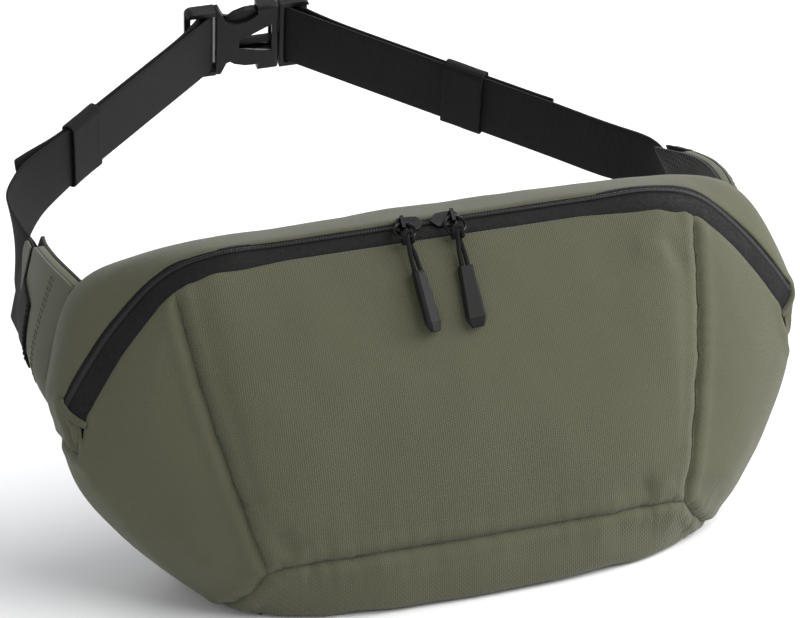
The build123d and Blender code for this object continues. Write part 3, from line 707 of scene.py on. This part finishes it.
def keeper(side):
    """A short sleeve of webbing with rounded corners, a little wider at its ends."""
    joint = next(j for j in frame["joints"] if j["name"] == side + "_keeper_slide")
    along = Vector(joint["axis"]).normalized()
    low, high = (Vector(c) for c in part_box(side + "_keeper"))
    middle = (low + high) / 2
    outward = along.cross(BELT_UP).normalized()
    half_deep, half_tall, corner = 3.1 * MM, 20.2 * MM, 2.4 * MM
    loop = []
    for sx, sy, first in ((1, 1, 0), (-1, 1, 90), (-1, -1, 180), (1, -1, 270)):
        for step in range(7):
            turn = math.radians(first + 15 * step)
            loop.append((sx * (half_deep - corner) + corner * math.cos(turn),
                         sy * (half_tall - corner) + corner * math.sin(turn)))
    work = bmesh.new()
    layer = work.loops.layers.uv.new("weave")
    rows = []
    stations = 15
    for station in range(stations):
        share = station / (stations - 1)
        swell = 1 + 0.05 * abs(2 * share - 1) ** 3
        row = []
        for deep, tall in loop:
            point = middle + along * ((share - 0.5) * 25.0 * MM) + outward * deep * swell + BELT_UP * tall
            point += outward * 0.0003 * noise.noise(point * 120.0)
            row.append(work.verts.new(point))
        rows.append(row)
    travel = [0.0]
    for a, b in zip(loop, loop[1:] + loop[:1]):
        travel.append(travel[-1] + math.dist(a, b))
    for station in range(stations - 1):
        for index in range(len(loop)):
            after = (index + 1) % len(loop)
            face = work.faces.new((rows[station][index], rows[station][after], rows[station + 1][after],
                                   rows[station + 1][index]))
            spots = ((index, station), (index + 1, station), (index + 1, station + 1), (index, station + 1))
            for corner_loop, (i, s) in zip(face.loops, spots):
                corner_loop[layer].uv = (travel[i], s / (stations - 1) * 25.0 * MM)
    bmesh.ops.recalc_face_normals(work, faces=work.faces)
    mesh = bpy.data.meshes.new(side + "_keeper_webbing")
    work.to_mesh(mesh)
    work.free()
    piece = new_object(side + "_keeper_webbing", mesh, WEBBING)
    thick = piece.modifiers.new("thickness", "SOLIDIFY")
    thick.thickness = 1.1 * MM
    thick.offset = 1
    rounded = piece.modifiers.new("edge", "BEVEL")
    rounded.width = 0.3 * MM
    rounded.segments = 2
    bake(piece)
    settle(piece, [side + "_keeper"], side + "_keeper")


for side_name in SIDES:
    strap(side_name)
    keeper(side_name)


# ---------------------------------------------------------------- wings and back pad
LAYER_CREASE = 0.6
EDGE_ANGLE = math.radians(24)


def soft_layer(node, material, crown, ribs=None):
    """A layered soft piece: rounded edges and a crowned face."""
    work = quad_copy(node, LAYER_CREASE)
    mesh = bpy.data.meshes.new(node + "_soft")
    work.to_mesh(mesh)
    work.free()
    piece = new_object(node + "_soft", mesh, material)
    subdivide(piece, 3)
    work = bmesh.new()
    work.from_mesh(piece.data)
    work.normal_update()
    edge = [v for v in work.verts
            if any(e.calc_face_angle(0) > EDGE_ANGLE for e in v.link_edges if len(e.link_faces) == 2)]
    tree = KDTree(max(len(edge), 1))
    for index, vertex in enumerate(edge):
        tree.insert(vertex.co, index)
    tree.balance()
    moves = []
    for vertex in work.verts:
        gap = tree.find(vertex.co)[2] if edge else 0.0
        lift = crown * (1 - math.exp(-gap / 0.009)) + 0.0005 * noise.noise(vertex.co * 45.0)
        moves.append(vertex.normal * lift)
    for vertex, move in zip(work.verts, moves):
        vertex.co += move
    work.to_mesh(piece.data)
    work.free()
    run, up = ribs or (Vector((0, 1, 0)), Vector((0, 0, 1)))
    weave_map(piece, run, up)
    return settle(piece, [node], "bag")


for side_name in SIDES:
    soft_layer(side_name + "_wing_outer", SIDE_CLOTH, 0.0012)
    soft_layer(side_name + "_wing_end_panel", BINDING, 0.0003,
               ribs=(Vector((0, 0, 1)), Vector((0, 1, 0))))
    soft_layer(side_name + "_wing_foam", SIDE_CLOTH, 0.0006)
    soft_layer(side_name + "_wing_mesh", MESH, 0.0008)
    soft_layer(side_name + "_wing_tongue", SIDE_CLOTH, 0.0003)


WING_SPOTS = [
    (45.0, (176, 157), (188, 131), (196, 106), (192, 93)),
    (70.0, (181, 159), (190.5, 135), (199.5, 111), (196, 98)),
    (100.0, (183, 158), (189.5, 136), (195, 114), (192.5, 99)),
    (130.0, (182, 153), (187, 137), (192.5, 119), (193.5, 102)),
    (162.0, (179.5, 147.5), (184.5, 136), (189.5, 121), (194, 105)),
]


CLEAR_OF_WING = 6
PATCH_WIDTH, PATCH_LENGTH, PATCH_THICK = 38, 62, 1.3


def wing_spot(side, back, down, lift):
    """A point over the wing's outer face: back is a line number, down runs from 0 to 3; lift in mm."""
    corners = []
    line_before = min(int(back), len(WING_SPOTS) - 2)
    for line in (line_before, line_before + 1):
        away, *spots = WING_SPOTS[line]
        row = spline([(x, away, z) for x, z in spots], 8)
        at = down / 3 * (len(row) - 1)
        first = min(int(at), len(row) - 2)
        corners.append(row[first].lerp(row[first + 1], at - first))
    point = corners[0].lerp(corners[1], back - line_before)
    outside = Vector((SIDES[side] * (point.x + CLEAR_OF_WING), point.y, point.z)) * MM
    _, spot, normal, _ = bpy.data.objects[side + "_wing_outer_soft"].closest_point_on_mesh(outside)
    return spot + normal * lift * MM


def wing_webbing(side):
    """The belt's webbing sewn flat on the outside of the wing's end."""
    work = bmesh.new()
    layer = work.loops.layers.uv.new("weave")
    steps, rises = 16, 12
    grid = []
    for i in range(steps + 1):
        share = i / steps
        row = []
        for j in range(rises + 1):
            down = 1.0 + 1.9 * j / rises - 0.22 * share
            bulge = 0.75 + 0.5 * math.sin(math.pi * j / rises)
            row.append(work.verts.new(wing_spot(side, 1.75 + 2.23 * share, down, bulge)))
        grid.append(row)
    for i in range(steps):
        for j in range(rises):
            face = work.faces.new((grid[i][j], grid[i + 1][j], grid[i + 1][j + 1], grid[i][j + 1]))
            for corner, (a, b) in zip(face.loops, ((i, j), (i + 1, j), (i + 1, j + 1), (i, j + 1))):
                corner[layer].uv = (PATCH_WIDTH * MM * b / rises, PATCH_LENGTH * MM * a / steps)
    bmesh.ops.recalc_face_normals(work, faces=work.faces)
    mesh = bpy.data.meshes.new(side + "_wing_webbing")
    work.to_mesh(mesh)
    work.free()
    piece = new_object(side + "_wing_webbing", mesh, BINDING)
    thick = piece.modifiers.new("thickness", "SOLIDIFY")
    thick.thickness = PATCH_THICK * MM
    thick.offset = 0
    bake(piece)
    settle(piece, [], "bag")


def stitches(name, points, material, pitch=2.9, length=2.1, thread=0.32):
    """A row of sewn stitches: small rounded lengths of thread along a line of points."""
    work = bmesh.new()
    travel = 0.0
    for start, end in zip(points, points[1:]):
        run = (end - start).length
        along = (end - start).normalized()
        while travel < run:
            turn = along.to_track_quat("X", "Z").to_matrix().to_4x4()
            place = Matrix.Translation(start + along * travel) @ turn
            place = place @ Matrix.Diagonal((length / 2 * MM, thread * MM, thread * MM, 1))
            bmesh.ops.create_icosphere(work, subdivisions=2, radius=1.0, matrix=place)
            travel += pitch * MM
        travel -= run
    mesh = bpy.data.meshes.new(name)
    work.to_mesh(mesh)
    work.free()
    piece = new_object(name, mesh, material)
    weave_map(piece, Vector((0.6, 0.6, 0.5)), Vector((0, 0.7, -0.7)))
    return settle(piece, [], "bag")


for side_name in SIDES:
    wing_webbing(side_name)
    for number, back in enumerate((0.86, 1.0)):
        line = [wing_spot(side_name, back, 0.1 + 2.6 * k / 24, 0.1) for k in range(25)]
        stitches(f"{side_name}_wing_stitches_{number}", line, THREAD)
    edge = [wing_spot(side_name, 1.82, 1.05 + 1.45 * k / 16, 1.9) for k in range(17)]
    stitches(f"{side_name}_webbing_stitches", edge, BLACK_THREAD)


PAD_VOXEL, PAD_PRESSURE, PAD_FRAMES, PAD_CAP = 0.0045, 4.0, 20, 0.004
PAD_PINNED_TO, PAD_FACE, PAD_OUTERMOST = 0.042, 0.0435, 0.0495
CHANNELS, CHANNEL_DEPTH, CHANNEL_WIDTH = (0.045, 0.11), 0.0018, 0.004


def back_pad():
    """The padded back: remeshed, blown up a little by cloth pressure, then quilted."""
    mesh = NODES["back_mesh"].data.copy()
    piece = new_object("back_pad", mesh, MESH)
    remesh = piece.modifiers.new("remesh", "REMESH")
    remesh.mode = "VOXEL"
    remesh.voxel_size = PAD_VOXEL
    work = bmesh.new()
    work.from_mesh(mesh)
    for vertex in work.verts:
        if vertex.co.y < 0.0445:
            vertex.co.y -= 0.003
    work.to_mesh(mesh)
    work.free()
    bake(piece)
    rest = [v.co.copy() for v in piece.data.vertices]
    pins = piece.vertex_groups.new(name="pins")
    pins.add([v.index for v in piece.data.vertices if v.co.y < PAD_PINNED_TO], 1.0, "REPLACE")
    cloth = piece.modifiers.new("cloth", "CLOTH")
    cloth.settings.use_pressure = True
    cloth.settings.uniform_pressure_force = PAD_PRESSURE
    cloth.settings.vertex_group_mass = "pins"
    cloth.settings.effector_weights.gravity = 0.0
    cloth.settings.quality = 5
    cloth.point_cache.frame_start = 1
    cloth.point_cache.frame_end = PAD_FRAMES
    for step in range(1, PAD_FRAMES + 1):
        bpy.context.scene.frame_set(step)
    bake(piece)
    bpy.context.scene.frame_set(1)
    for vertex, before in zip(piece.data.vertices, rest):
        move = vertex.co - before
        if move.length > PAD_CAP:
            vertex.co = before + move.normalized() * PAD_CAP
    subdivide(piece, 1)
    for vertex in piece.data.vertices:
        if vertex.co.y > PAD_FACE:
            channel = min(abs(abs(vertex.co.x) - place) for place in CHANNELS)
            vertex.co.y -= CHANNEL_DEPTH * math.exp(-(channel / CHANNEL_WIDTH) ** 2)
            vertex.co.y = min(vertex.co.y, PAD_OUTERMOST)
    weave_map(piece, Vector((1, 0, 0)), Vector((0, 0, 1)))
    settle(piece, ["back_mesh", "back_foam", "back_lining"], "bag")


back_pad()


# ---------------------------------------------------------------- floor and light
WORLD_STRENGTH = 0.42
SUN_STRENGTH, SUN_ANGLE, SUN_FROM = 2.45, 50, (0.62, -0.5, 0.75)
FLOOR_HALF = 6.0


def make_stage():
    """White floor and an even sky."""
    shader = Shader("floor_paper", Roughness=0.9, Base_Color=(0.92, 0.92, 0.92, 1))
    shader.bump(shader.noise(shader.object_point(), 60.0), 0.0002)
    mesh = bpy.data.meshes.new("floor")
    corners = [(x * FLOOR_HALF, y * FLOOR_HALF, 0) for x, y in ((-1, -1), (1, -1), (1, 1), (-1, 1))]
    mesh.from_pydata(corners, [], [(0, 1, 2, 3)])
    floor = new_object("floor", mesh, shader.material)
    world = bpy.data.worlds.new("studio")
    world.use_nodes = True
    world.node_tree.nodes["Background"].inputs["Color"].default_value = (0.95, 0.97, 1.0, 1)
    world.node_tree.nodes["Background"].inputs["Strength"].default_value = WORLD_STRENGTH
    bpy.context.scene.world = world


def area_light(name, place, aim, size, power, tint=(1, 1, 1)):
    light = bpy.data.lights.new(name, "AREA")
    light.shape = "RECTANGLE"
    light.size, light.size_y = size
    light.energy = power
    light.color = tint
    holder = bpy.data.objects.new(name, light)
    holder.location = place
    holder.rotation_euler = (Vector(aim) - Vector(place)).to_track_quat("-Z", "Y").to_euler()
    bpy.context.collection.objects.link(holder)


make_stage()
area_light("fill", (-1.3, -1.2, 0.9), (0.0, 0.0, 0.1), (1.2, 1.0), 5.0)
area_light("side", (1.3, -0.3, 0.6), (0.15, 0.0, 0.1), (0.7, 0.9), 15.0)
area_light("behind", (0.5, 1.7, 0.8), (0.0, 0.1, 0.1), (1.2, 0.9), 12.0)
sun = bpy.data.lights.new("window", "SUN")
sun.energy = SUN_STRENGTH
sun.angle = math.radians(SUN_ANGLE)
sun_holder = bpy.data.objects.new("window", sun)
sun_holder.rotation_euler = Vector(SUN_FROM).to_track_quat("Z", "Y").to_euler()
bpy.context.collection.objects.link(sun_holder)
bpy.context.scene.view_settings.view_transform = "Standard"
